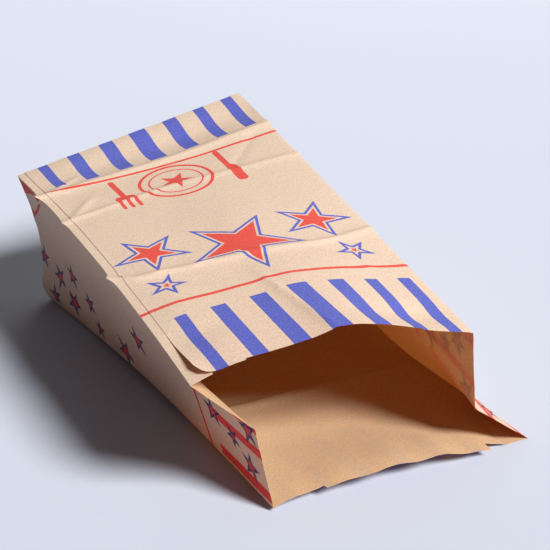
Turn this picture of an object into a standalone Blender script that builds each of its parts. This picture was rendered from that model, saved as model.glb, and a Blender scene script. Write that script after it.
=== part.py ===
"""Takeaway paper bag with a block bottom and side gussets.

The bag is one sheet of kraft paper, folded into a tube with a glued length seam, and
closed by a folded and glued base. It lies on its back panel with its mouth open towards -Y.
It is modelled in metres, +Z up, with the origin under the middle of its bounding box.
"""
import math

import bmesh
import bpy
from mathutils import Vector

# The bag's own sizes, as it was made
PANEL_W = 0.160        # width of the front and back panels
GUSSET_D = 0.090       # depth of the side gussets and of the base
BAG_L = 0.305          # from the base to the cut edge of the mouth
PAPER_T = 0.0001       # 80 g kraft paper
SEAM_LAP = 0.012       # strip turned in under the front panel's glued edge
SEAM_INSET = 0.005     # raw edge of the front panel, inside the left fold
SEAM_RISE = 0.0003     # height of the front panel over the strip, middle to middle
THUMB_CUT = 0.0015     # the front panel's mouth is cut back by this between the steps
LIP_LEFT = 0.003       # the back panel's lip stands out by this at its left end
LIP_RIGHT = 0.008      # and by this at its right end, where the cut runs askew
MOUTH_STEP_IN = 0.030  # where the steps of the cut lie, in from each side fold
STEP_SLANT = 0.0006    # width over which the cut steps
FLAP_LAP = 0.020       # overlap of the two glued base flaps
FLAP_T = 0.0003        # thickness that each flap adds to the base
FLAP_INSET = 0.0015    # the flaps' folds lie this far inside the edges of the base

# Print: stripes at both ends of the panels and gussets, and a line beside each band of them
STRIPE_COUNT = 7
STRIPE_W = 0.0074       # an outer stripe of a panel
STRIPE_SWELL = 0.0043   # the middle one is wider by this
SWELL_REACH = 1.3       # and its neighbours a little, out to about so many stripes
STRIPE_MARGIN = 0.0096  # left bare beside the side folds, on average
PRINT_SHIFT = 0.0033    # the print is not quite centred between the folds
GUSSET_STRIPES = ((0.0025, 0.0090), (0.0275, 0.0340))    # from each side fold of a gusset
GUSSET_MID_STRIPE = 0.0050                               # along its middle crease
BASE_STRIPE_END = 0.0433
MOUTH_STRIPE_END = 0.2472
LINE_W = 0.0026
BASE_LINE = 0.0540
MOUTH_LINE = 0.2342

# How it lies and how handling has bent it
BASE_ROLL = math.radians(11.5)    # the back panel's base edge rises to the right
BASE_LEAN = math.radians(9.0)     # the base end leans over to the left
BASE_PINCH = 0.0026               # the base's edges are bent, so their ends lie closer
FRONT_ROLL = math.radians(12.4)   # slope of the front panel's base edge
FRONT_TURN = math.radians(4.0)    # the front panel lies turned against the back panel
FRONT_SET_BACK = 0.0093           # top left corner of the base, behind the bottom one
LEFT_FOLD_RISE = 0.0073           # hump of the front panel's left fold, half way along
LEFT_MOUTH = (-0.1150, 0.0096, 0.0772)    # front panel's left corner at the mouth
RIGHT_MOUTH = (0.0430, 0.0008, 0.0722)
MOUTH_ARCH = ((0.0, 0.0), (0.13, 0.0072), (0.28, 0.0097), (0.41, 0.0126), (0.53, 0.0165),
              (0.65, 0.0140), (0.83, 0.0065), (1.0, 0.0))    # share of the width, height
ARCH_GROWTH = 2.2                 # how late along the bag the arch rises
SAG_DEPTH = 0.0032                # and sags behind the base crease
SAG_AT = 0.055
SAG_LENGTH = 0.060
BACK_IN = 0.0040                  # the left bottom fold draws in at the mouth
BACK_DRAW = 0.0025                # and a little more half way along
BACK_LIFT = 0.0047                # where it also lifts off the table
BACK_LIFT_REACH = 0.045           # out to here on the back panel
BACK_CORNER_LIFT = 0.0022         # as it does at the mouth
BACK_OUT = 0.0014                 # the right bottom fold moves out
BACK_FLAT = 0.105                 # stretch of the right bottom fold flat on the table
BACK_BOW = 0.0093                 # the back panel's mouth edge bows up off the table
BACK_BOW_SPAN = 0.90              # share of the width that bows
BACK_BOW_LENGTH = 0.080
TUCK_GROWTH = 2.6                 # how late along the bag the gussets fold inwards
EDGE_DENT = 0.0037                # bend of the base's left edge: in above, out below
EDGE_BULGE = 0.0032
EDGE_TURN = 0.76                  # share of the gusset's depth that is bent in
EDGE_LENGTH = 0.040               # how far the bend reaches along the bag
APEX_DENT = 0.0030                # the gussets' base creases meet in a shallow hollow
CURL_HEIGHT = 0.0040              # the seam's free edge curls up at the mouth
CURL_LENGTH = 0.055
CURL_WIDTH = 0.014
CORNER_R = 0.008                  # rounded corner of the curled edge
BASE_CREASE = 0.0495              # creases across the panels, where the flat bag was folded
FLAT_CREASE = 0.0940
MIDDLE_CREASE = 0.1960
CREASES = ((BASE_CREASE, 0.0012), (FLAT_CREASE, 0.0005), (MIDDLE_CREASE, 0.0008))
CREASE_WIDTH = 0.0035
CREASE_NUB = 1.8                  # the left fold sticks out by so many crease heights
NUB_REACH = 0.014                 # in from the fold, along the paper

ROW_STEP = 0.016                  # widest step between rows of faces
END_BAND = 0.016                  # stretch beside the mouth where the cut shapes the rows
FLAP_STEPS = (5, 10)              # faces up a base flap and across it


def smooth(t):
    """Ease from 0 to 1."""
    t = min(max(t, 0.0), 1.0)
    return t * t * (3.0 - 2.0 * t)


def hump(v, at, length):
    """Bell of height 1 around one place."""
    return math.exp(-((v - at) / length) ** 2)


def through(points, t):
    """Smooth curve through a few points, each a place and a height."""
    k = 1
    while k < len(points) - 1 and t > points[k][0]:
        k += 1
    low, high = points[k - 1], points[k]
    before = points[max(k - 2, 0)]
    after = points[min(k + 1, len(points) - 1)]
    span = high[0] - low[0]
    slope_low = (high[1] - before[1]) / (high[0] - before[0]) * span
    slope_high = (after[1] - low[1]) / (after[0] - low[0]) * span
    s = (t - low[0]) / span
    ease = s * s * (3.0 - 2.0 * s)
    return (low[1] * (1.0 - ease) + high[1] * ease
            + slope_low * s * (1.0 - s) ** 2 - slope_high * s * s * (1.0 - s))


def crease(v):
    """Height of the ridges across the panels."""
    return sum(height * hump(v, place, CREASE_WIDTH) for place, height in CREASES)


def nub(distance, v):
    """How far the creased paper sticks out at the left fold, and a little in from it."""
    return CREASE_NUB * crease(v) * max(0.0, 1.0 - distance / NUB_REACH) ** 2


def base_corner(side, level):
    """Corner of the base: side 0 is left and 1 right, level 0 is back panel and 1 front."""
    back_left = Vector((-PANEL_W / 2, BAG_L, 0.0))
    if level == 0:
        across = Vector((math.cos(BASE_ROLL), 0.0, math.sin(BASE_ROLL)))
        return back_left + across * PANEL_W * side
    rise = math.sqrt((GUSSET_D - BASE_PINCH) ** 2 - FRONT_SET_BACK ** 2)
    front_left = back_left + Vector((-rise * math.sin(BASE_LEAN), FRONT_SET_BACK,
                                     rise * math.cos(BASE_LEAN)))
    across = Vector((math.cos(FRONT_TURN) * math.cos(FRONT_ROLL), -math.sin(FRONT_TURN),
                     math.sin(FRONT_ROLL)))
    return front_left + across.normalized() * (PANEL_W - BASE_PINCH) * side


def front_fold(side, v):
    """Fold between the front panel and a gusset, at v from the base."""
    s = v / BAG_L
    end = Vector(LEFT_MOUTH if side == 0 else RIGHT_MOUTH)
    point = base_corner(side, 1).lerp(end, s)
    if side == 0:
        point.z += LEFT_FOLD_RISE * 4.0 * s * (1.0 - s)
    return point


def back_fold(side, v):
    """Fold between the back panel and a gusset, at v from the base."""
    s = v / BAG_L
    if side == 0:
        half_way = math.sin(math.pi * s)
        x = -PANEL_W / 2 + BACK_IN * s + BACK_DRAW * half_way
        return Vector((x, BAG_L - v, BACK_LIFT * half_way + BACK_CORNER_LIFT * s ** 4))
    start = base_corner(1, 0)
    x = start.x + (PANEL_W / 2 + BACK_OUT - start.x) * s
    lift = smooth(1.0 - v / (BAG_L - BACK_FLAT))
    return Vector((x, BAG_L - v, start.z * lift))


def gusset_mid(side, v):
    """Middle crease of a gusset: flat near the base, tucked in towards the mouth."""
    inward = Vector((1.0 - 2.0 * side, 0.0, 0.0))
    top = front_fold(side, BAG_L)
    low = back_fold(side, BAG_L)
    slack = max((GUSSET_D ** 2 - (top - low).length_squared) / 4, 0.0)
    tuck = math.sqrt(slack) * (v / BAG_L) ** TUCK_GROWTH
    top = front_fold(side, v)
    low = back_fold(side, v)
    chord = top - low
    inward -= chord * (inward.dot(chord) / chord.length_squared)
    return (top + low) / 2 + inward.normalized() * tuck


def seam_curl(u, v):
    """How far the seam's free edge has curled up off the strip, near the mouth."""
    reach = max(0.0, 1.0 - (u - SEAM_INSET) / CURL_WIDTH)
    free = smooth((v - (BAG_L - CURL_LENGTH)) / CURL_LENGTH)
    return SEAM_RISE + CURL_HEIGHT * reach ** 2 * free ** 2


def strip_point(u, v):
    """Point of the strip under the seam, which turns in from the left gusset."""
    t = u / PANEL_W
    s = v / BAG_L
    point = front_fold(0, v).lerp(front_fold(1, v), t)
    arch = through(MOUTH_ARCH, t) * s ** ARCH_GROWTH
    sag = SAG_DEPTH * hump(v, SAG_AT, SAG_LENGTH) * math.sin(math.pi * t) * smooth(v / SAG_AT)
    point.x -= nub(u, v)
    point.z += arch - sag + crease(v)
    return point


def front_point(u, v):
    """Point of the front panel, u from the left fold and v from the base."""
    point = strip_point(u, v)
    point.z += seam_curl(u, v)
    return point


def back_point(u, v):
    """Point of the back panel, which lies on the table."""
    t = u / PANEL_W
    left = back_fold(0, v)
    right = back_fold(1, v)
    point = left.lerp(right, t)
    reach = max(0.0, 1.0 - u / BACK_LIFT_REACH)
    bow = BACK_BOW * smooth((v - (BAG_L - BACK_BOW_LENGTH)) / BACK_BOW_LENGTH)
    arc = math.sin(math.pi * min(t / BACK_BOW_SPAN, 1.0))
    point.z = left.z * reach ** 2 + right.z * t + bow * arc ** 0.7 + crease(v) * math.sin(math.pi * t)
    return point


def base_edge_bend(w):
    """Bend of the base's left edge: inwards in its upper part and outwards below it."""
    if w < EDGE_TURN:
        return EDGE_DENT * math.sin(math.pi * w / EDGE_TURN)
    return -EDGE_BULGE * math.sin(math.pi * (w - EDGE_TURN) / (1.0 - EDGE_TURN))


def gusset_point(side, w, v):
    """Point of a gusset, w from 0 at the front fold to 1 at the back fold."""
    top = front_fold(side, v)
    mid = gusset_mid(side, v)
    low = back_fold(side, v)
    point = top.lerp(mid, 2.0 * w) if w < 0.5 else mid.lerp(low, 2.0 * w - 1.0)
    edge = min(w, 1.0 - w) * GUSSET_D
    beyond = max(v - GUSSET_D / 2, 0.0)
    hollow = min(v, edge) / (GUSSET_D / 2) * hump(beyond, 0.0, GUSSET_D)
    point.x += (1.0 - 2.0 * side) * APEX_DENT * hollow
    if side == 0:
        point.x += base_edge_bend(w) * hump(v, 0.0, EDGE_LENGTH) - nub(w * GUSSET_D, v)
    if w == 0.0:
        point.z += crease(v)
    return point


def base_point(u, w):
    """Point of the base, u from its left edge and w from 0 at the front to 1 at the back."""
    point = front_point(u, 0.0).lerp(back_point(u, 0.0), w)
    point.x += base_edge_bend(w) * max(0.0, 1.0 - u / EDGE_LENGTH)
    return point


def stripe_edges():
    """Edges of a panel's stripes, in from the left fold, with even gaps between them."""
    middle = (STRIPE_COUNT - 1) / 2
    widths = [STRIPE_W + STRIPE_SWELL * hump(k, middle, SWELL_REACH) for k in range(STRIPE_COUNT)]
    gap = (PANEL_W - 2.0 * STRIPE_MARGIN - sum(widths)) / (STRIPE_COUNT - 1)
    edges = []
    place = STRIPE_MARGIN + PRINT_SHIFT
    for width in widths:
        edges += [place, place + width]
        place += width + gap
    return edges


def gusset_edges():
    """Edges of a gusset's stripes, in from its front fold, the same from both sides."""
    half = [edge for stripe in GUSSET_STRIPES for edge in stripe]
    half.append((GUSSET_D - GUSSET_MID_STRIPE) / 2)
    return half + [GUSSET_D - edge for edge in reversed(half)]


def in_step(u):
    """How far a place lies inside the cut back or lengthened middle of a panel's mouth."""
    edge = min(u, PANEL_W - u)
    return smooth((edge - MOUTH_STEP_IN) / STEP_SLANT + 0.5)


def front_end(u):
    """Length of the front panel at u, with its thumb cut and its rounded free corner."""
    length = BAG_L - THUMB_CUT * in_step(u)
    corner = SEAM_INSET + CORNER_R - u
    if corner > 0.0:
        length -= CORNER_R - math.sqrt(CORNER_R ** 2 - corner ** 2)
    return length


def back_end(u):
    """Length of the back panel at u."""
    share = (u - MOUTH_STEP_IN) / (PANEL_W - 2.0 * MOUTH_STEP_IN)
    return BAG_L + (LIP_LEFT + (LIP_RIGHT - LIP_LEFT) * share) * in_step(u)


def along(v, end):
    """A row's place on a column that ends at end instead of at the plain cut."""
    start = BAG_L - END_BAND
    if v <= start:
        return v
    return start + (v - start) * (end - start) / END_BAND


def spread(marks, step):
    """The marks in order, with even steps between those that lie far apart."""
    marks = sorted(marks)
    places = [marks[0]]
    for low, high in zip(marks, marks[1:]):
        count = max(1, math.ceil((high - low) / step))
        places += [low + (high - low) * (k + 1) / count for k in range(count)]
    return places


def panel_columns():
    """Places across a panel: the stripes' edges, the steps of the cut and the plain rest."""
    columns = stripe_edges()
    for edge in (MOUTH_STEP_IN, PANEL_W - MOUTH_STEP_IN):
        columns += [edge - STEP_SLANT / 2, edge + STEP_SLANT / 2]
    columns += [0.0, SEAM_INSET, PANEL_W]
    return sorted(columns)


def gusset_columns():
    """Places across a gusset: its stripes' edges and its middle crease."""
    return spread([0.0, GUSSET_D / 2, GUSSET_D] + gusset_edges(), ROW_STEP)


def rows():
    """Places along the bag: the print's edges, the creases and an even spread between."""
    places = [0.0, BASE_STRIPE_END, BASE_LINE, BASE_LINE + LINE_W, MOUTH_LINE,
              MOUTH_LINE + LINE_W, MOUTH_STRIPE_END, BAG_L - END_BAND, BAG_L]
    places += [place for place in gusset_columns() if 0.0 < place < GUSSET_D / 2]
    for place, height in CREASES:
        places += [place - CREASE_WIDTH, place, place + CREASE_WIDTH]
    return spread(places, ROW_STEP)


def ring(v):
    """One row of points round the bag, from the strip's edge to the front panel's edge."""
    columns = panel_columns()
    shares = [place / GUSSET_D for place in gusset_columns()]
    points = [strip_point(u, v) for u in (SEAM_LAP, SEAM_INSET)]
    points += [gusset_point(0, w, v) for w in shares]
    points += [back_point(u, along(v, back_end(u))) for u in columns[1:-1]]
    points += [gusset_point(1, w, v) for w in reversed(shares)]
    points += [front_point(u, along(v, front_end(u))) for u in reversed(columns[1:-1])]
    return points


def ink(region, place, v):
    """Material of a face in the middle of a region: 0 paper, 1 blue ink, 2 red ink."""
    in_line = any(line < v < line + LINE_W for line in (BASE_LINE, MOUTH_LINE))
    if in_line:
        return 2
    if BASE_STRIPE_END < v < MOUTH_STRIPE_END:
        return 0
    edges = stripe_edges() if region == "panel" else gusset_edges()
    striped = sum(edge < place for edge in edges) % 2 == 1
    if not striped:
        return 0
    return 1 if region == "panel" else 2


def face_inks():
    """Region and middle of each column of faces round the bag, in the ring's order."""
    columns = panel_columns()
    gusset = gusset_columns()
    across_gusset = [("gusset", (a + b) / 2) for a, b in zip(gusset, gusset[1:])]
    across_panel = [("panel", (a + b) / 2) for a, b in zip(columns, columns[1:])]
    strip = [("panel", SEAM_INSET / 2)] * 2
    return strip + across_gusset + across_panel + across_gusset[::-1] + across_panel[:0:-1]


def base_faces(mesh, first):
    """Close the base across its first ring, with quads from the front to the back edge."""
    columns = panel_columns()[1:-1]
    gusset = gusset_columns()
    strip_edge = first[1]
    left = first[2:2 + len(gusset)]
    back = first[1 + len(gusset):][:len(columns) + 2]
    right = first[2 + len(gusset) + len(columns):][:len(gusset)][::-1]
    front = [left[0], strip_edge] + first[::-1][1:len(columns)] + [right[0]]
    grid = [front]
    for k in range(1, len(gusset) - 1):
        w = gusset[k] / GUSSET_D
        inner = [mesh.verts.new(base_point(u, w)) for u in columns]
        grid.append([left[k]] + inner + [right[k]])
    grid.append(back)
    for upper, lower in zip(grid, grid[1:]):
        for j in range(len(upper) - 1):
            mesh.faces.new((upper[j], upper[j + 1], lower[j + 1], lower[j]))
    mesh.faces.new((strip_edge, first[-1], first[-2]))


def bag_sheet():
    """The folded sheet as one open surface, where the bag lies before it is centred."""
    mesh = bmesh.new()
    places = rows()
    inks = face_inks()
    grid = [[mesh.verts.new(point) for point in ring(v)] for v in places]
    for i in range(len(places) - 1):
        middle = (places[i] + places[i + 1]) / 2
        for j, (region, place) in enumerate(inks):
            corners = (grid[i][j], grid[i + 1][j], grid[i + 1][j + 1], grid[i][j + 1])
            mesh.faces.new(corners).material_index = ink(region, place, middle)
    base_faces(mesh, grid[0])
    bmesh.ops.recalc_face_normals(mesh, faces=mesh.faces)
    return mesh


def flap_sheet(level):
    """A base flap as an open surface: its corners are folded in at 45 degrees."""
    mesh = bmesh.new()
    up, across = FLAP_STEPS
    grid = []
    for i in range(up + 1):
        height = FLAP_INSET + (GUSSET_D / 2 + FLAP_LAP / 2 - FLAP_INSET) * i / up
        w = 1.0 - height / GUSSET_D if level == 0 else height / GUSSET_D
        row = []
        for j in range(across + 1):
            u = height + FLAP_INSET + (PANEL_W - 2.0 * (height + FLAP_INSET)) * j / across
            row.append(mesh.verts.new(base_point(u, w)))
        grid.append(row)
    for upper, lower in zip(grid, grid[1:]):
        for j in range(across):
            mesh.faces.new((upper[j], upper[j + 1], lower[j + 1], lower[j]))
    for face in mesh.faces:
        face.normal_update()
        if face.normal.y < 0.0:
            face.normal_flip()
    return mesh


def paint(name, color, roughness):
    """A plain Principled material."""
    material = bpy.data.materials.new(name)
    material.use_nodes = True
    shader = material.node_tree.nodes["Principled BSDF"]
    shader.inputs["Base Color"].default_value = (*color, 1.0)
    shader.inputs["Roughness"].default_value = roughness
    shader.inputs["Metallic"].default_value = 0.0
    return material


def add_sheet(name, mesh, shift, thickness, offset, collection):
    """An object of paper with a wall: offset 0 is about the surface, 1 outside it."""
    bmesh.ops.translate(mesh, vec=shift, verts=mesh.verts)
    data = bpy.data.meshes.new(name)
    mesh.to_mesh(data)
    mesh.free()
    sheet = bpy.data.objects.new(name, data)
    collection.objects.link(sheet)
    wall = sheet.modifiers.new("paper", "SOLIDIFY")
    wall.thickness = thickness
    wall.offset = offset
    return sheet


for old in list(bpy.data.objects):
    bpy.data.objects.remove(old, do_unlink=True)

collection = bpy.data.collections.new("takeaway_paper_bag")
flaps = bpy.data.collections.new("base_flaps")
for group in (collection, flaps):
    bpy.context.scene.collection.children.link(group)

body = bag_sheet()
low = Vector([min(vert.co[k] for vert in body.verts) for k in range(3)])
high = Vector([max(vert.co[k] for vert in body.verts) for k in range(3)])
to_origin = -(low + high) / 2
to_origin.z = PAPER_T / 2 - low.z

bag = add_sheet("paper_bag", body, to_origin, PAPER_T, 0.0, collection)
bag.data.materials.append(paint("kraft_paper", (0.80, 0.62, 0.42), 0.75))
bag.data.materials.append(paint("blue_ink", (0.15, 0.16, 0.60), 0.65))
bag.data.materials.append(paint("red_ink", (0.75, 0.07, 0.04), 0.65))

for level, name in ((1, "front_flap"), (0, "back_flap")):
    thickness = PAPER_T / 2 + FLAP_T * (2 - level)
    flap = add_sheet(name, flap_sheet(level), to_origin, thickness, 1.0, flaps)
    flap.hide_render = True
    flap.display_type = "WIRE"
    glued = bag.modifiers.new(name, "BOOLEAN")
    glued.operation = "UNION"
    glued.object = flap
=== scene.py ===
"""Looks of a takeaway paper bag with a block bottom, lying on its back panel.

Laid out in the order in which the bag is made: the folded sheet, its paper, its print, the glued
base, and then the floor, the lights and the camera. Lengths are in metres, +Z up, and the mouth
opens towards -Y. Print and paper patterns are written in millimetres on the unfolded sheet.
"""
import math

import bmesh
import bpy
from mathutils import Matrix, Vector, noise


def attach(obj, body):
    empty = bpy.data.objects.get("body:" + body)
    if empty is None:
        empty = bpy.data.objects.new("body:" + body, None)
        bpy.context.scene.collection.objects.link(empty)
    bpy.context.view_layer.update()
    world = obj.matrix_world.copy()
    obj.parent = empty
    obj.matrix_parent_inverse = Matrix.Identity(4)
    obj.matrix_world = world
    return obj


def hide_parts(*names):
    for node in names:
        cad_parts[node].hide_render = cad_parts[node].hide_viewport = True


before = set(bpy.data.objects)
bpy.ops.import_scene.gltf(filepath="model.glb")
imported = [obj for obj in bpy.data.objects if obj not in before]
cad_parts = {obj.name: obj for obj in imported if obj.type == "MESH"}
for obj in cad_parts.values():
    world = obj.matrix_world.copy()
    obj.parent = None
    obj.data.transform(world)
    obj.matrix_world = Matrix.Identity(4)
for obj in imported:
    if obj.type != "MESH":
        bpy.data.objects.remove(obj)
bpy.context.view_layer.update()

# The folded sheet. The real one is a web of 80 g brown kraft paper, printed while flat, folded
# into a tube with a gusset on each side and glued along its length. Handling has left creases
# across it, a bowed mouth and a curled seam end.

# sizes of the sheet; u runs across a panel from its left fold, and v along the bag from its base
PANEL_W = 0.160
GUSSET_D = 0.090
BAG_L = 0.305
PAPER_T = 0.0001
SEAM_LAP = 0.012
SEAM_INSET = 0.005
SEAM_RISE = 0.0003
THUMB_CUT = 0.0015
LIP_LEFT = 0.003
LIP_RIGHT = 0.008
MOUTH_STEP_IN = 0.030
STEP_SLANT = 0.0006
END_BAND = 0.016
TO_ORIGIN = Vector((0.0168, -0.1531575, 0.00005))

# how the bag lies: lean and roll of the base, places of the mouth's corners, bends of the folds
BASE_ROLL = math.radians(11.5)
BASE_LEAN = math.radians(9.0)
BASE_PINCH = 0.0026
FRONT_ROLL = math.radians(12.4)
FRONT_TURN = math.radians(4.0)
FRONT_SET_BACK = 0.0093
LEFT_FOLD_RISE = 0.0073
LEFT_MOUTH = (-0.1150, 0.0096, 0.0772)
RIGHT_MOUTH = (0.0430, 0.0008, 0.0722)

# height of the front panel's mouth over a straight line, at shares of the width
MOUTH_ARCH = ((0.0, 0.0), (0.13, 0.0072), (0.28, 0.0097), (0.41, 0.0126), (0.53, 0.0165),
              (0.65, 0.0140), (0.83, 0.0065), (1.0, 0.0))
ARCH_GROWTH = 2.2
SAG_DEPTH = 0.0032
SAG_AT = 0.055
SAG_LENGTH = 0.060

# soft dips behind the front panel's mouth: depth, place and reach across, place and reach along
MOUTH_DIPS = ((0.0024, 0.132, 0.026, 0.286, 0.011), (0.0012, 0.018, 0.014, 0.268, 0.012))
BASE_DIP = 0.0026
BASE_DIP_AT = 0.026
BASE_DIP_LENGTH = 0.015

# the back panel and its lip, the tuck of the gussets, and the bent left edge of the base
BACK_IN = 0.0040
BACK_DRAW = 0.0025
BACK_LIFT = 0.0047
BACK_LIFT_REACH = 0.045
BACK_CORNER_LIFT = 0.0022
BACK_OUT = 0.0014
BACK_FLAT = 0.105
BACK_BOW = 0.0093
BACK_BOW_SPAN = 0.90
BACK_BOW_LENGTH = 0.080
TUCK_GROWTH = 2.6
EDGE_DENT = 0.0037
EDGE_BULGE = 0.0032
EDGE_TURN = 0.76
EDGE_LENGTH = 0.040
APEX_DENT = 0.0030
BACK_CREASE = 0.0030
BACK_CREASE_AT = 0.197
BACK_CREASE_WIDTH = 0.0035
LIP_WAVE = 0.0007
LIP_WAVES = 31.0
LIP_WAVE_LENGTH = 0.030

# the seam's free corner, and how far creases stick out at the left fold
CURL_HEIGHT = 0.0040
CURL_LENGTH = 0.055
CURL_WIDTH = 0.014
CORNER_R = 0.008
NUB_GROWTH = 1.8
NUB_REACH = 0.014

# unevenness of handled paper: height, and bumps to the metre across and along
WRINKLES = ((0.00060, 26.0, 20.0), (0.00016, 75.0, 60.0))
WRINKLE_FREE = 0.010

# creases across the panels: height, half width, and places from the left fold and the base
CROSS_CREASES = (
    (0.0024, 0.0040, ((0.0, 0.0550), (0.040, 0.0505), (0.100, 0.0490), (0.160, 0.0480))),
    (0.0013, 0.0022, ((0.0, 0.1030), (0.067, 0.0890), (0.110, 0.0900), (0.160, 0.0920))),
    (0.0018, 0.0026, ((0.0, 0.1880), (0.013, 0.1970), (0.118, 0.2010), (0.160, 0.1910))),
)
# short creases of the front panel: height, half width, from, to
PANEL_CREASES = (
    (0.0013, 0.0020, (0.070, 0.215), (0.083, 0.320)),
    (0.0010, 0.0018, (0.002, 0.104), (0.030, 0.071)),
    (0.0010, 0.0018, (0.003, 0.055), (0.034, 0.030)),
    (-0.0006, 0.0022, (0.012, 0.197), (0.046, 0.222)),
    (0.0006, 0.0020, (0.104, 0.200), (0.152, 0.252)),
    (-0.0006, 0.0022, (0.112, 0.090), (0.150, 0.050)),
)
# creases of the left gusset, in from its front fold
GUSSET_CREASES = (
    (0.0016, 0.0028, (-0.004, 0.102), (0.062, 0.010)),
    (0.0012, 0.0024, (-0.004, 0.056), (0.035, -0.006)),
    (-0.0010, 0.0026, (0.094, 0.062), (0.036, 0.028)),
    (0.0018, 0.0024, (-0.004, 0.189), (0.050, 0.168)),
    (0.0008, 0.0022, (0.000, 0.150), (0.034, 0.108)),
)


def smooth(t):
    """Ease from 0 to 1."""
    t = min(max(t, 0.0), 1.0)
    return t * t * (3.0 - 2.0 * t)


def hump(v, at, length):
    """Bell of height 1 around one place."""
    return math.exp(-((v - at) / length) ** 2)


def through(points, t):
    """Smooth curve through a few points, each a place and a height."""
    k = 1
    while k < len(points) - 1 and t > points[k][0]:
        k += 1
    low, high = points[k - 1], points[k]
    before = points[max(k - 2, 0)]
    after = points[min(k + 1, len(points) - 1)]
    span = high[0] - low[0]
    slope_low = (high[1] - before[1]) / (high[0] - before[0]) * span
    slope_high = (after[1] - low[1]) / (after[0] - low[0]) * span
    s = (t - low[0]) / span
    ease = s * s * (3.0 - 2.0 * s)
    return (low[1] * (1.0 - ease) + high[1] * ease
            + slope_low * s * (1.0 - s) ** 2 - slope_high * s * s * (1.0 - s))


def ridge(distance, width):
    """Profile of a crease in paper: sharp on top and soft at its foot."""
    return math.exp(-math.sqrt((distance / width) ** 2 + 0.04) + 0.2)


def cross_crease(u, v):
    """Height of the creases across a panel."""
    return sum(height * ridge(v - through(line, u), width)
               for height, width, line in CROSS_CREASES)


def short_creases(creases, x, y):
    """Height of the short creases of a panel or a gusset, fading out at their ends."""
    total = 0.0
    for height, width, start, end in creases:
        run = Vector(end) - Vector(start)
        away = Vector((x, y)) - Vector(start)
        t = away.dot(run) / run.length_squared
        if 0.0 < t < 1.0:
            distance = abs(away.cross(run)) / run.length
            total += height * ridge(distance, width) * min(1.0, 4.0 * t, 4.0 * (1.0 - t))
    return total


def wrinkle(x, y, edge, seed):
    """Slight unevenness of handled paper, none at the folds."""
    height = 0.0
    for k, (depth, across, lengthwise) in enumerate(WRINKLES):
        height += depth * noise.noise(Vector((x * across, y * lengthwise, seed + 5.0 * k)))
    return height * smooth(edge / WRINKLE_FREE)


def nub(distance, v):
    """How far the creased paper sticks out at the left fold, and a little in from it."""
    return NUB_GROWTH * cross_crease(0.0, v) * max(0.0, 1.0 - distance / NUB_REACH) ** 2


def base_corner(side, level):
    """Corner of the base: side 0 is left and 1 right, level 0 is back panel and 1 front."""
    back_left = Vector((-PANEL_W / 2, BAG_L, 0.0))
    if level == 0:
        across = Vector((math.cos(BASE_ROLL), 0.0, math.sin(BASE_ROLL)))
        return back_left + across * PANEL_W * side
    rise = math.sqrt((GUSSET_D - BASE_PINCH) ** 2 - FRONT_SET_BACK ** 2)
    front_left = back_left + Vector((-rise * math.sin(BASE_LEAN), FRONT_SET_BACK,
                                     rise * math.cos(BASE_LEAN)))
    across = Vector((math.cos(FRONT_TURN) * math.cos(FRONT_ROLL), -math.sin(FRONT_TURN),
                     math.sin(FRONT_ROLL)))
    return front_left + across.normalized() * (PANEL_W - BASE_PINCH) * side


def front_fold(side, v):
    """Fold between the front panel and a gusset, at v from the base."""
    s = v / BAG_L
    end = Vector(LEFT_MOUTH if side == 0 else RIGHT_MOUTH)
    point = base_corner(side, 1).lerp(end, s)
    if side == 0:
        point.z += LEFT_FOLD_RISE * 4.0 * s * (1.0 - s)
    return point


def back_fold(side, v):
    """Fold between the back panel and a gusset, at v from the base."""
    s = v / BAG_L
    if side == 0:
        half_way = math.sin(math.pi * s)
        x = -PANEL_W / 2 + BACK_IN * s + BACK_DRAW * half_way
        return Vector((x, BAG_L - v, BACK_LIFT * half_way + BACK_CORNER_LIFT * s ** 4))
    start = base_corner(1, 0)
    x = start.x + (PANEL_W / 2 + BACK_OUT - start.x) * s
    lift = smooth(1.0 - v / (BAG_L - BACK_FLAT))
    return Vector((x, BAG_L - v, start.z * lift))


def gusset_mid(side, v):
    """Middle crease of a gusset: flat near the base, tucked in towards the mouth."""
    inward = Vector((1.0 - 2.0 * side, 0.0, 0.0))
    top = front_fold(side, BAG_L)
    low = back_fold(side, BAG_L)
    slack = max((GUSSET_D ** 2 - (top - low).length_squared) / 4, 0.0)
    tuck = math.sqrt(slack) * (v / BAG_L) ** TUCK_GROWTH
    top = front_fold(side, v)
    low = back_fold(side, v)
    chord = top - low
    inward -= chord * (inward.dot(chord) / chord.length_squared)
    return (top + low) / 2 + inward.normalized() * tuck


def strip_point(u, v):
    """Point of the strip under the seam, which turns in from the left gusset."""
    t = u / PANEL_W
    s = v / BAG_L
    point = front_fold(0, v).lerp(front_fold(1, v), t)
    arch = through(MOUTH_ARCH, t) * s ** ARCH_GROWTH
    across = math.sin(math.pi * min(max(t, 0.0), 1.0))
    sag = SAG_DEPTH * hump(v, SAG_AT, SAG_LENGTH) * across * smooth(v / SAG_AT)
    across = across ** 0.5
    sag += BASE_DIP * (0.8 + 0.6 * t) * hump(v, BASE_DIP_AT, BASE_DIP_LENGTH) * across
    for depth, at, reach, row, length in MOUTH_DIPS:
        sag += depth * hump(u, at, reach) * hump(v, row, length) * smooth(across / 0.4)
    creases = cross_crease(u, v) + short_creases(PANEL_CREASES, u, v)
    point.x -= nub(u, v)
    point.z += arch - sag + creases + wrinkle(u, v, min(u, PANEL_W - u), 1.0)
    return point


def front_point(u, v):
    """Point of the front panel, whose free edge curls up off the strip near the mouth."""
    point = strip_point(u, v)
    reach = max(0.0, 1.0 - (u - SEAM_INSET) / CURL_WIDTH)
    free = smooth((v - (BAG_L - CURL_LENGTH)) / CURL_LENGTH)
    point.z += SEAM_RISE + CURL_HEIGHT * reach ** 2 * free ** 2
    return point


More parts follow.
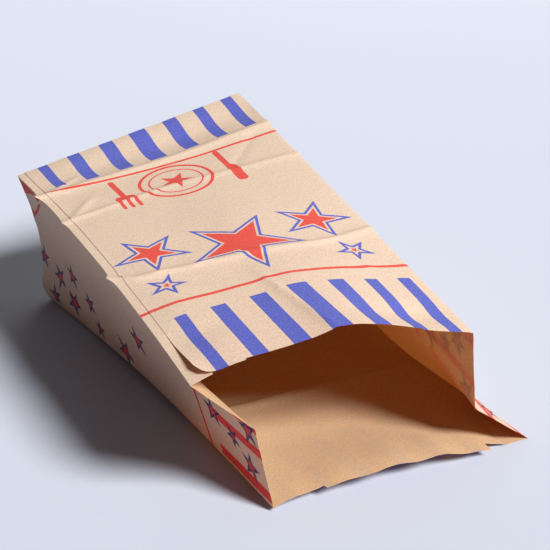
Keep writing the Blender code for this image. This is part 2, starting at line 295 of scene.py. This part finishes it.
def back_point(u, v):
    """Point of the back panel, which lies on the table and bows up off it at the mouth."""
    t = u / PANEL_W
    left = back_fold(0, v)
    right = back_fold(1, v)
    point = left.lerp(right, t)
    reach = max(0.0, 1.0 - u / BACK_LIFT_REACH)
    bow = BACK_BOW * smooth((v - (BAG_L - BACK_BOW_LENGTH)) / BACK_BOW_LENGTH)
    arc = math.sin(math.pi * min(t / BACK_BOW_SPAN, 1.0))
    creases = cross_crease(u, v) + BACK_CREASE * ridge(v - BACK_CREASE_AT, BACK_CREASE_WIDTH)
    creases *= math.sin(math.pi * t)
    uneven = max(0.0, wrinkle(u, v, min(u, PANEL_W - u), 9.0))
    waves = LIP_WAVE * (1.0 + math.sin(LIP_WAVES * t + 3.0 * t * t)) * math.sin(math.pi * t)
    waves *= smooth(1.0 + (v - BAG_L) / LIP_WAVE_LENGTH)
    point.z = left.z * reach ** 2 + right.z * t + bow * arc ** 0.7 + creases + uneven + waves
    return point


def base_edge_bend(w):
    """Bend of the base's left edge: inwards in its upper part and outwards below it."""
    if w < EDGE_TURN:
        return EDGE_DENT * math.sin(math.pi * w / EDGE_TURN)
    return -EDGE_BULGE * math.sin(math.pi * (w - EDGE_TURN) / (1.0 - EDGE_TURN))


def gusset_point(side, w, v):
    """Point of a gusset, w from 0 at the front fold to 1 at the back fold."""
    top = front_fold(side, v)
    mid = gusset_mid(side, v)
    low = back_fold(side, v)
    point = top.lerp(mid, 2.0 * w) if w < 0.5 else mid.lerp(low, 2.0 * w - 1.0)
    edge = min(w, 1.0 - w) * GUSSET_D
    beyond = max(v - GUSSET_D / 2, 0.0)
    hollow = min(v, edge) / (GUSSET_D / 2) * hump(beyond, 0.0, GUSSET_D)
    outward = wrinkle(w * GUSSET_D, v, edge, 3.0 + side) - APEX_DENT * hollow
    if side == 0:
        outward += short_creases(GUSSET_CREASES, w * GUSSET_D, v)
        outward += nub(w * GUSSET_D, v) - base_edge_bend(w) * hump(v, 0.0, EDGE_LENGTH)
    point.x += (2.0 * side - 1.0) * outward
    if w == 0.0:
        point.z += cross_crease(0.0 if side == 0 else PANEL_W, v)
    return point


def base_point(u, w):
    """Point of the base, u from its left edge and w from 0 at the front to 1 at the back."""
    point = front_point(u, 0.0).lerp(back_point(u, 0.0), w)
    point.x += base_edge_bend(w) * max(0.0, 1.0 - u / EDGE_LENGTH)
    return point


def in_step(u):
    """How far a place lies inside the cut back or lengthened middle of a panel's mouth."""
    edge = min(u, PANEL_W - u)
    return smooth((edge - MOUTH_STEP_IN) / STEP_SLANT + 0.5)


def front_end(u):
    """Length of the front panel at u, with its thumb cut and its rounded free corner."""
    length = BAG_L - THUMB_CUT * in_step(u)
    corner = SEAM_INSET + CORNER_R - u
    if corner > 0.0:
        length -= CORNER_R - math.sqrt(CORNER_R ** 2 - corner ** 2)
    return length


def back_end(u):
    """Length of the back panel at u."""
    share = (u - MOUTH_STEP_IN) / (PANEL_W - 2.0 * MOUTH_STEP_IN)
    return BAG_L + (LIP_LEFT + (LIP_RIGHT - LIP_LEFT) * share) * in_step(u)


def along(v, end):
    """A row's place on a column that ends at end instead of at the plain cut."""
    start = BAG_L - END_BAND
    if v <= start:
        return v
    return start + (v - start) * (end - start) / END_BAND


def spread(marks, step):
    """The marks in order, with even steps between those that lie far apart."""
    marks = sorted(marks)
    places = [marks[0]]
    for low, high in zip(marks, marks[1:]):
        count = max(1, math.ceil((high - low) / step - 0.001))
        places += [low + (high - low) * (k + 1) / count for k in range(count)]
    return places


COLUMN_STEP = 0.0021
GUSSET_STEP = 0.0023
ROW_STEP = 0.0019
BASE_ON_SHEET = 0.6


def ring(v, columns, shares):
    """Points round the bag with their places on the unfolded sheet, from strip to seam."""
    lap = [SEAM_LAP, (SEAM_LAP + SEAM_INSET) / 2, SEAM_INSET, SEAM_INSET / 2]
    points = [(strip_point(u, v), (-u, v)) for u in lap]
    points += [(gusset_point(0, w, v), (w * GUSSET_D, v)) for w in shares]
    for u in columns[1:-1]:
        end = along(v, back_end(u))
        points.append((back_point(u, end), (GUSSET_D + u, end)))
    start = GUSSET_D + PANEL_W
    points += [(gusset_point(1, w, v), (start + (1.0 - w) * GUSSET_D, v)) for w in shares[::-1]]
    for u in columns[-2:1:-1]:
        end = along(v, front_end(u))
        points.append((front_point(u, end), (start + GUSSET_D + PANEL_W - u, end)))
    return points


def bag_mesh():
    """The folded sheet as one open surface, with its places on the flat sheet as a UV map."""
    mesh = bmesh.new()
    sheet = mesh.loops.layers.uv.new("sheet")
    steps = [edge + slant for edge in (MOUTH_STEP_IN, PANEL_W - MOUTH_STEP_IN)
             for slant in (-STEP_SLANT / 2, STEP_SLANT / 2)]
    columns = [0.0, SEAM_INSET / 2] + spread([SEAM_INSET, PANEL_W] + steps, COLUMN_STEP)
    across = spread([0.0, GUSSET_D / 2, GUSSET_D], GUSSET_STEP)
    shares = [place / GUSSET_D for place in across]
    places = spread([0.0, BAG_L - END_BAND, BAG_L], ROW_STEP)

    def face(corners):
        made = mesh.faces.new([corner for corner, place in corners])
        made.smooth = True
        for loop, (corner, place) in zip(made.loops, corners):
            loop[sheet].uv = place

    grid = [[(mesh.verts.new(point), place) for point, place in ring(v, columns, shares)]
            for v in places]
    for lower, upper in zip(grid, grid[1:]):
        for j in range(len(lower) - 1):
            face((lower[j], upper[j], upper[j + 1], lower[j + 1]))

    # the base closes the tube's end; its place on the sheet lies past the print, so it is bare
    first = [vert for vert, place in grid[0]]
    left = first[4:4 + len(shares)]
    back = first[3 + len(shares):][:len(columns)]
    right = first[2 + len(shares) + len(columns):][:len(shares)][::-1]
    front = [left[0], first[3], first[2]] + first[::-1][1:len(columns) - 3] + [right[0]]
    base = [front]
    for k in range(1, len(shares) - 1):
        inner = [mesh.verts.new(base_point(u, shares[k])) for u in columns[1:-1]]
        base.append([left[k]] + inner + [right[k]])
    base.append(back)
    laid = [[(vert, (BASE_ON_SHEET + u, w * GUSSET_D)) for vert, u in zip(line, columns)]
            for line, w in zip(base, shares)]
    for upper, lower in zip(laid, laid[1:]):
        for j in range(len(columns) - 1):
            face((upper[j], upper[j + 1], lower[j + 1], lower[j]))
    face([(vert, (BASE_ON_SHEET, 0.0)) for vert in (first[2], first[-1], first[-2])])
    bmesh.ops.recalc_face_normals(mesh, faces=mesh.faces)
    return mesh


SHARP_EDGE = math.radians(38.0)


def paper_piece(name, mesh, materials):
    """An object of paper with a wall and sharp cut edges; its inside has the last material."""
    bmesh.ops.translate(mesh, vec=TO_ORIGIN, verts=mesh.verts)
    data = bpy.data.meshes.new(name)
    mesh.to_mesh(data)
    mesh.free()
    for material in materials:
        data.materials.append(material)
    piece = bpy.data.objects.new(name, data)
    bpy.context.scene.collection.objects.link(piece)
    wall = piece.modifiers.new("paper", "SOLIDIFY")
    wall.thickness = PAPER_T
    wall.offset = 0.0
    wall.material_offset = len(materials) - 1
    graph = bpy.context.evaluated_depsgraph_get()
    piece.data = bpy.data.meshes.new_from_object(piece.evaluated_get(graph))
    piece.modifiers.remove(wall)
    piece.data.set_sharp_from_angle(angle=SHARP_EDGE)
    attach(piece, "root")
    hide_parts("paper_bag")


# Print. The real one is two flexo inks, blue and red, on the outside of the sheet: a band of
# stripes and a line at each end of every panel, and between them a motif on the panels and
# scattered stars on the gussets. The web carries the same print twice round the tube.
BLUE = "#3854D0"
RED = "#E82C1E"
BLUE_OVER_RED = "#2C2A72"
MM = 1000.0
REPEAT = (GUSSET_D + PANEL_W) * MM

# stripes as start and end across a panel or gusset, and where their two bands end
PANEL_STRIPES = ((12.7, 20.0), (34.0, 42.3), (55.8, 65.5), (77.6, 89.1), (102.3, 112.0),
                 (125.0, 132.6), (145.4, 152.7))
GUSSET_STRIPES = ((2.5, 9.0), (27.5, 34.0), (42.5, 47.5), (56.0, 62.5), (81.0, 87.5))
FAR_BAND_END = 43.3
NEAR_BAND_END = 247.3

# lines: place, slope where they run askew, and half width; then the two short stripes under
# the slanted one, as the first's edge, slope and start, and the second's middle and half width
NEAR_LINE = (233.5, 1.3)
FAR_LINE = (53.0, 0.036, 1.0)
SIDE_LINE = (57.0, -1.934, 1.9)
SIDE_WEDGE = (12.6, -0.2475, 1.8)
SIDE_PATCH = (26.5, 3.1)

# how far ink spreads, size of its uneven edge as spots to the millimetre, and a star's waist
INK_SPREAD = 0.34
SPREAD_SPOTS = 0.9
STAR_WAIST = 0.38

# each star: place across and along the sheet, radius, and turn in degrees
GUSSET_STARS = ((57, 4, 9, 10), (64, 28, 10, 40), (55, 54, 10, 5), (80, 19, 9, 25),
                (76, 47, 10, 60), (66, 77, 9, 30), (81, 84, 8, 12), (58, 158, 11, 20),
                (81, 122, 12, 50), (59, 252, 10, 15), (65, 272, 8, 45), (75, 287, 10, 5),
                (50, 295, 10, 30), (12, 268, 9, 20), (24, 292, 10, 50))
PANEL_STARS = ((80, 186, 38, 0), (29, 172, 25, 10), (131, 172, 25, -10),
               (23, 213, 13, -10), (137, 213, 13, 10))

# depth inside a star where its outline runs, as middle and half width, and where its heart starts
SMALL_OUTLINE = (0.8, 0.78)
SMALL_HEART = 1.55
BIG_OUTLINE = (1.0, 0.85)
BIG_HEART = 3.1

# a plate as two rings, each a radius and half a width, round a star
PLATE = (80, 82)
PLATE_LINES = ((23.0, 1.1), (17.0, 0.6))
PLATE_STAR = (0, 0, 12, 0)

# fork and knife as rounded bars: middle, half size and corner, from the middle of the plate
CUTLERY = ((-36.0, -9.0, 1.9, 15.0, 1.8), (-36.0, 6.0, 6.4, 3.2, 3.0),
           (-41.2, 14.0, 1.2, 8.5, 1.1), (-36.0, 14.0, 1.2, 8.5, 1.1),
           (-30.8, 14.0, 1.2, 8.5, 1.1), (36.0, -11.0, 1.9, 13.0, 1.8),
           (37.2, 10.5, 3.4, 12.5, 3.2))


def color(text):
    """A colour written in hexadecimal, as the linear values of a shader."""
    parts = [int(text[k:k + 2], 16) / 255.0 for k in (1, 3, 5)]
    linear = [c / 12.92 if c <= 0.04045 else ((c + 0.055) / 1.055) ** 2.4 for c in parts]
    return (*linear, 1.0)


def add(tree, kind, *inputs, named=(), **settings):
    """Add a node with its settings, and give its inputs values or other nodes' outputs."""
    made = tree.nodes.new("ShaderNode" + kind)
    for key, value in settings.items():
        setattr(made, key, value)
    for key, value in (*enumerate(inputs), *dict(named).items()):
        if isinstance(value, bpy.types.Node):
            value = value.outputs[0]
        if isinstance(value, bpy.types.NodeSocket):
            tree.links.new(value, made.inputs[key])
        else:
            made.inputs[key].default_value = value
    return made


def chain(tree, operation, values):
    """Values joined one after another: MAXIMUM unites shapes, MULTIPLY keeps their overlap."""
    joined = values[0]
    for value in values[1:]:
        joined = add(tree, "Math", joined, value, operation=operation)
    return joined


def new_group(name, inputs, outputs):
    """An empty node group, with the outputs of its input node and its output node."""
    tree = bpy.data.node_groups.new(name, "ShaderNodeTree")
    for key, kind in inputs:
        tree.interface.new_socket(key, in_out="INPUT", socket_type="NodeSocket" + kind)
    for key in outputs:
        tree.interface.new_socket(key, in_out="OUTPUT", socket_type="NodeSocketFloat")
    given = list(tree.nodes.new("NodeGroupInput").outputs) if inputs else []
    return tree, given, tree.nodes.new("NodeGroupOutput")


def star_group():
    """How far a place lies inside a five-pointed star, with its first tip at the turn."""
    tree, given, result = new_group(
        "star", (("Place", "Vector"), ("Centre", "Vector"), ("Radius", "Float"),
                 ("Turn", "Float")), ("Inside",))
    place, centre, radius, turn = given[:4]
    away = add(tree, "VectorMath", place, centre, operation="SUBTRACT")
    reach = add(tree, "VectorMath", away, operation="LENGTH").outputs["Value"]
    parts = add(tree, "SeparateXYZ", away)
    angle = add(tree, "Math", parts.outputs[1], parts.outputs[0], operation="ARCTAN2")
    angle = add(tree, "Math", angle, turn, operation="SUBTRACT")
    folded = add(tree, "Math", angle, math.pi / 5, operation="PINGPONG")
    ahead = add(tree, "Math", folded, operation="COSINE")
    ahead = add(tree, "Math", reach, ahead, operation="MULTIPLY")
    aside = add(tree, "Math", folded, operation="SINE")
    aside = add(tree, "Math", reach, aside, operation="MULTIPLY")
    short = add(tree, "Math", radius, ahead, operation="SUBTRACT")
    slope_x = STAR_WAIST * math.sin(math.pi / 5)
    slope_y = 1.0 - STAR_WAIST * math.cos(math.pi / 5)
    size = math.hypot(slope_x, slope_y)
    past = add(tree, "Math", aside, slope_y / size, operation="MULTIPLY")
    short = add(tree, "Math", short, slope_x / size, operation="MULTIPLY")
    tree.links.new(add(tree, "Math", short, past, operation="SUBTRACT").outputs[0],
                   result.inputs[0])
    return tree


def bar_group():
    """How far a place lies inside a rounded bar, from its middle and half its size."""
    tree, given, result = new_group(
        "bar", (("Place", "Vector"), ("Centre", "Vector"), ("Half", "Vector"),
                ("Corner", "Float")), ("Inside",))
    place, centre, half, corner = given[:4]
    away = add(tree, "VectorMath", place, centre, operation="SUBTRACT")
    away = add(tree, "VectorMath", away, operation="ABSOLUTE")
    past = add(tree, "VectorMath", away, half, operation="SUBTRACT")
    rounding = add(tree, "CombineXYZ", corner, corner)
    past = add(tree, "VectorMath", past, rounding, operation="ADD")
    past = add(tree, "VectorMath", past, (0.0, 0.0, 0.0), operation="MAXIMUM")
    past = add(tree, "VectorMath", past, operation="LENGTH").outputs["Value"]
    tree.links.new(add(tree, "Math", corner, past, operation="SUBTRACT").outputs[0],
                   result.inputs[0])
    return tree


def stripes(tree, place, edges):
    """1 inside the stripes of a band, along a place in millimetres."""
    ramp = add(tree, "ValToRGB", add(tree, "Math", place, REPEAT, operation="DIVIDE"))
    ramp.color_ramp.interpolation = "CONSTANT"
    stops = ramp.color_ramp.elements
    stops[0].color = (0.0, 0.0, 0.0, 1.0)
    stops.remove(stops[1])
    for start, end in edges:
        stops.new(start / REPEAT).color = (1.0, 1.0, 1.0, 1.0)
        stops.new(end / REPEAT).color = (0.0, 0.0, 0.0, 1.0)
    return ramp


def slanted(tree, place, line):
    """A place plus a height that grows with it, for a line that runs askew over the sheet."""
    return add(tree, "Math", place, line[1], line[0], operation="MULTIPLY_ADD")


def stars_at(tree, group, place, stars):
    """How far a place lies inside the nearest of several stars."""
    return chain(tree, "MAXIMUM", [
        add(tree, "Group", place, (x, y, 0.0), radius, math.radians(90.0 + turn),
            node_tree=group) for x, y, radius, turn in stars])


def print_group():
    """Blue ink, red ink and blue over red as 0 to 1, from the place on the flat sheet."""
    tree, given, result = new_group("print", (), ("Blue", "Red", "Over"))
    sheet = add(tree, "UVMap", uv_map="sheet")
    flat = add(tree, "VectorMath", sheet, named={"Scale": MM}, operation="SCALE")
    # ink spreads a little unevenly into the paper
    rough = add(tree, "TexNoise",
                named={"Vector": flat, "Scale": SPREAD_SPOTS}).outputs["Color"]
    rough = add(tree, "VectorMath", rough, (0.5, 0.5, 0.5), operation="SUBTRACT")
    rough = add(tree, "VectorMath", rough, (INK_SPREAD, INK_SPREAD, 0.0), operation="MULTIPLY")
    placed = add(tree, "SeparateXYZ", add(tree, "VectorMath", flat, rough, operation="ADD"))
    round_tube, y = placed.outputs[0], placed.outputs[1]
    on_tube = add(tree, "Math", round_tube, 2.0 * REPEAT, operation="LESS_THAN")
    x = add(tree, "Math", round_tube, REPEAT, operation="FLOORED_MODULO")
    u = add(tree, "Math", REPEAT, x, operation="SUBTRACT")
    panel = add(tree, "Math", x, GUSSET_D * MM, operation="GREATER_THAN")
    gusset = add(tree, "Math", 1.0, panel, operation="SUBTRACT")
    near = add(tree, "Math", y, NEAR_BAND_END, operation="GREATER_THAN")
    far = add(tree, "Math", y, FAR_BAND_END, operation="LESS_THAN")
    ends = add(tree, "Math", near, far, operation="MAXIMUM")
    blue_stripes = chain(tree, "MULTIPLY", [stripes(tree, u, PANEL_STRIPES), panel, ends])
    red_stripes = chain(tree, "MULTIPLY", [stripes(tree, x, GUSSET_STRIPES), gusset, near])

    # thin red lines beside the bands; the one near the base slants off down the gusset, and
    # under it lie the ends of two red stripes
    near_line = add(tree, "Math", y, *NEAR_LINE, operation="COMPARE")
    far_line = add(tree, "Math", y, slanted(tree, u, FAR_LINE), FAR_LINE[2], operation="COMPARE")
    above = add(tree, "Math", y, slanted(tree, x, SIDE_LINE), operation="SUBTRACT")
    side_line = add(tree, "Math", above, 0.0, SIDE_LINE[2], operation="COMPARE")
    under = add(tree, "Math", above, 0.0, operation="LESS_THAN")
    wedge = chain(tree, "MULTIPLY", [
        add(tree, "Math", x, slanted(tree, y, SIDE_WEDGE), operation="LESS_THAN"),
        add(tree, "Math", x, SIDE_WEDGE[2], operation="GREATER_THAN")])
    patch = add(tree, "Math", x, *SIDE_PATCH, operation="COMPARE")
    low = chain(tree, "MULTIPLY", [chain(tree, "MAXIMUM", [wedge, patch]), under, gusset])
    lines = [near_line, chain(tree, "MULTIPLY", [far_line, panel]),
             chain(tree, "MULTIPLY", [side_line, gusset]), low, red_stripes]

    # stars of the gussets: a red heart, and an outline where blue is printed over red
    star = star_group()
    on_gusset = add(tree, "CombineXYZ", x, y)
    small = stars_at(tree, star, on_gusset, GUSSET_STARS)
    small = add(tree, "Math", small, gusset, operation="MULTIPLY")
    over = add(tree, "Math", small, *SMALL_OUTLINE, operation="COMPARE")
    hearts = add(tree, "Math", small, SMALL_HEART, operation="GREATER_THAN")

    # motif of the panels: red stars in blue outlines, and a plate with a fork and a knife
    on_panel = add(tree, "CombineXYZ", u, y)
    big = stars_at(tree, star, on_panel, PANEL_STARS)
    big = add(tree, "Math", big, panel, operation="MULTIPLY")
    outlines = add(tree, "Math", big, *BIG_OUTLINE, operation="COMPARE")
    filled = add(tree, "Math", big, BIG_HEART, operation="GREATER_THAN")
    middle = add(tree, "VectorMath", on_panel, (*PLATE, 0.0), operation="SUBTRACT")
    away = add(tree, "VectorMath", middle, operation="LENGTH").outputs["Value"]
    rings = [add(tree, "Math", away, *line, operation="COMPARE") for line in PLATE_LINES]
    bar = bar_group()
    shapes = [add(tree, "Group", middle, (x_at, y_at, 0.0), (half_x, half_y, 0.0), corner,
                  node_tree=bar) for x_at, y_at, half_x, half_y, corner in CUTLERY]
    shapes.append(stars_at(tree, star, middle, (PLATE_STAR,)))
    shapes = add(tree, "Math", chain(tree, "MAXIMUM", shapes), 0.0, operation="GREATER_THAN")
    table_set = chain(tree, "MULTIPLY", [chain(tree, "MAXIMUM", [shapes, *rings]), panel])

    inks = ([blue_stripes, outlines], [*lines, hearts, filled, table_set], [over])
    for k, shapes in enumerate(inks):
        ink = chain(tree, "MULTIPLY", [chain(tree, "MAXIMUM", shapes), on_tube])
        tree.links.new(ink.outputs[0], result.inputs[k])
    return tree


# Paper. The real one is uncoated brown kraft, machine made, with short fibres that lie mostly
# along the bag. The eye sees a dull, faintly speckled sheet that glows warm where light passes,
# and ink that sinks in unevenly. Fibres are drawn far wider than they are, so that they show.
PAPER_OUTSIDE = "#E9D7C2"
# the inside's colour is deeper and warmer than the outside's: partly the bare side's own tone,
# partly painted shade of the bag's dim inside
PAPER_INSIDE_WITH_SHADE = "#E3C49C"
INK_OUTSIDE = 0.93
INK_INSIDE = 0.02
ROUGHNESS = 0.72

# share of the light that passes, and how much deeper its colour is than the paper's
LIGHT_THROUGH = 0.46
LIGHT_DEPTH = 2.5

# spots to the millimetre, and how narrow fibres are along the bag; then what each does to the
# paper's tone or to the ink's cover, as a share of the pattern and a base
FIBRES = 1.25
FIBRE_RUN = 0.45
CLOUDS = 0.28
FIBRE_TONE = (0.72, 0.64)
CLOUD_TONE = (0.10, 0.95)
FIBRE_COVER = (-0.7, 1.30)
FIBRE_HEIGHT = 0.00008
FIBRE_RELIEF = 0.35


def kraft(name, paper, ink_share, inks):
    """Uncoated kraft paper with inks that cover it by the given share."""
    material = bpy.data.materials.new(name)
    material.use_nodes = True
    tree = material.node_tree
    tree.nodes.clear()
    printed = add(tree, "Group", node_tree=inks)
    sheet = add(tree, "UVMap", uv_map="sheet")
    flat = add(tree, "VectorMath", sheet, (MM, MM, 0.0), operation="MULTIPLY")
    grain = add(tree, "VectorMath", flat, (1.0, FIBRE_RUN, 1.0), operation="MULTIPLY")
    fibres = add(tree, "TexNoise", named={"Vector": grain, "Scale": FIBRES, "Detail": 4.0,
                                          "Roughness": 0.75})
    clouds = add(tree, "TexNoise", named={"Vector": flat, "Scale": CLOUDS, "Detail": 4.0})
    tone = add(tree, "Math", fibres, *FIBRE_TONE, operation="MULTIPLY_ADD")
    cloudy = add(tree, "Math", clouds, *CLOUD_TONE, operation="MULTIPLY_ADD")
    tone = add(tree, "Math", tone, cloudy, operation="MULTIPLY")
    plain = add(tree, "VectorMath", color(paper)[:3], named={"Scale": tone}, operation="SCALE")
    cover = add(tree, "Math", fibres, *FIBRE_COVER, operation="MULTIPLY_ADD")
    cover = add(tree, "Math", cover, 1.0, operation="MINIMUM")
    cover = add(tree, "Math", cover, ink_share, operation="MULTIPLY")
    shade = plain.outputs[0]
    for ink, output in ((BLUE, "Blue"), (RED, "Red"), (BLUE_OVER_RED, "Over")):
        amount = add(tree, "Math", printed.outputs[output], cover, operation="MULTIPLY")
        shade = add(tree, "Mix", named={0: amount, 6: shade, 7: color(ink)},
                    data_type="RGBA").outputs[2]
    # from within the wall the ink only tints the light that passes
    behind = add(tree, "NewGeometry").outputs["Backfacing"]
    face = add(tree, "Mix", named={0: behind, 6: shade, 7: plain}, data_type="RGBA").outputs[2]
    bump = add(tree, "Bump", named={"Height": fibres, "Strength": FIBRE_RELIEF,
                                    "Distance": FIBRE_HEIGHT})
    surface = add(tree, "BsdfPrincipled", named={"Base Color": face, "Roughness": ROUGHNESS,
                                                 "Normal": bump})
    passing = add(tree, "Gamma", shade, LIGHT_DEPTH)
    passing = add(tree, "BsdfTranslucent", passing)
    both = add(tree, "MixShader", LIGHT_THROUGH, surface, passing)
    add(tree, "OutputMaterial", both)
    return material


print_on_sheet = print_group()
outside = kraft("uncoated kraft paper, printed", PAPER_OUTSIDE, INK_OUTSIDE, print_on_sheet)
# the bare inside carries painted shade in its deeper, warmer colour as well as its own tone
inside = kraft("uncoated kraft paper, bare, with painted shade", PAPER_INSIDE_WITH_SHADE, INK_INSIDE, print_on_sheet)
paper_piece("bag_sheet", bag_mesh(), (outside, inside))

# The glued base. The real bag's end is folded square, and two flaps with corners folded in at
# 45 degrees are glued over each other across it. They are plain paper, a layer or two thick.
FLAP_LAP = 0.020
FLAP_T = 0.0005
FLAP_INSET = 0.0015
FLAP_STEPS = (24, 60)
FLAP_CURL = 0.0018
FLAP_WAVES = 9.0
FLAP_ON_SHEET = 0.8


def flap_mesh(level):
    """A base flap as an open surface that tapers from its fold to its glued edge."""
    mesh = bmesh.new()
    sheet = mesh.loops.layers.uv.new("sheet")
    up, wide = FLAP_STEPS
    grid = []
    for i in range(up + 1):
        height = FLAP_INSET + (GUSSET_D / 2 + FLAP_LAP / 2 - FLAP_INSET) * i / up
        w = 1.0 - height / GUSSET_D if level == 0 else height / GUSSET_D
        row = []
        for j in range(wide + 1):
            u = height + FLAP_INSET + (PANEL_W - 2.0 * (height + FLAP_INSET)) * j / wide
            point = base_point(u, w)
            glued = smooth(3.0 * i / up) * FLAP_T * (2 - level)
            wave = 0.6 + 0.4 * math.cos(FLAP_WAVES * j / wide + level)
            point.y += PAPER_T + glued + FLAP_CURL * (i / up) ** 6 * wave
            row.append((mesh.verts.new(point), (FLAP_ON_SHEET + u, w * GUSSET_D)))
        grid.append(row)
    for upper, lower in zip(grid, grid[1:]):
        for j in range(wide):
            corners = (upper[j], upper[j + 1], lower[j + 1], lower[j])
            made = mesh.faces.new([vert for vert, place in corners])
            made.smooth = True
            for loop, (vert, place) in zip(made.loops, corners):
                loop[sheet].uv = place
            made.normal_update()
            if made.normal.y < 0.0:
                made.normal_flip()
    return mesh


for level, name in ((1, "front_flap"), (0, "back_flap")):
    paper_piece(name, flap_mesh(level), (outside,))

# The table, the studio lights and the camera. The floor is plain and pale. A soft lamp shines
# from the front right, a wide one hangs overhead, and a weak one behind on the right lights the
# base. The camera has the photograph's angle.
FLOOR_COLOR = "#B0B5C3"
FLOOR_ROUGHNESS = 0.9
FLOOR_REACH = 6.0
KEY_SPREAD = math.radians(18.0)
BACKDROP_COLOR = "#E6E9F2"
DIM_TINT = (1.0, 0.96, 0.92, 1.0)
DIM_LEVEL = 0.03
LENS = 107.33
CAMERA_AT = (-0.3869, -0.78856, 0.43865)
CAMERA_HEADING = math.radians(-27.482)
CAMERA_TILT = math.radians(90.0 - 23.296)
CAMERA_ROLL = math.radians(-0.875)


def floor_material():
    """Matt painted board in pale grey, which shows the eye no gloss and no grain."""
    material = bpy.data.materials.new("matt painted board")
    material.use_nodes = True
    shader = material.node_tree.nodes["Principled BSDF"]
    shader.inputs["Base Color"].default_value = color(FLOOR_COLOR)
    shader.inputs["Roughness"].default_value = FLOOR_ROUGHNESS
    return material


ground = bmesh.new()
bmesh.ops.create_grid(ground, x_segments=1, y_segments=1, size=FLOOR_REACH)
ground_data = bpy.data.meshes.new("floor")
ground.to_mesh(ground_data)
ground.free()
floor = bpy.data.objects.new("floor", ground_data)
floor.data.materials.append(floor_material())
bpy.context.scene.collection.objects.link(floor)


def aimed_lamp(name, kind, place, strength, tint):
    """A lamp that shines from a place towards the bag."""
    data = bpy.data.lights.new(name, kind)
    data.energy = strength
    data.color = tint
    lamp = bpy.data.objects.new(name, data)
    lamp.location = place
    lamp.rotation_euler = (-Vector(place)).to_track_quat("-Z", "Y").to_euler()
    bpy.context.scene.collection.objects.link(lamp)
    return data


key = aimed_lamp("key", "SUN", (0.92, -2.30, 2.12), 6.9, (1.0, 0.99, 0.97))
key.angle = KEY_SPREAD
overhead = aimed_lamp("overhead", "AREA", (0.60, 0.55, 1.80), 3.4, (1.0, 0.95, 0.88))
overhead.size = 1.4
fill = aimed_lamp("fill", "AREA", (1.50, 1.90, 0.80), 11.0, (1.0, 0.96, 0.91))
fill.size = 1.2

world = bpy.data.worlds.new("studio")
bpy.context.scene.world = world
world.use_nodes = True
tree = world.node_tree
tree.nodes.clear()
path = add(tree, "LightPath")
seen = chain(tree, "MAXIMUM", [path.outputs[key] for key in
                               ("Is Camera Ray", "Is Glossy Ray", "Is Transmission Ray")])
dim = add(tree, "Background", DIM_TINT, DIM_LEVEL)
pale = add(tree, "Background", color(BACKDROP_COLOR), 1.0)
add(tree, "OutputWorld", add(tree, "MixShader", seen, dim, pale))

camera_data = bpy.data.cameras.new("camera")
camera_data.lens = LENS
camera_data.sensor_width = 36.0
camera = bpy.data.objects.new("camera", camera_data)
camera.matrix_world = (Matrix.Translation(CAMERA_AT)
                       @ Matrix.Rotation(CAMERA_HEADING, 4, "Z")
                       @ Matrix.Rotation(CAMERA_TILT, 4, "X")
                       @ Matrix.Rotation(CAMERA_ROLL, 4, "Z"))
bpy.context.scene.collection.objects.link(camera)
bpy.context.scene.camera = camera
bpy.context.scene.view_settings.view_transform = "Standard"
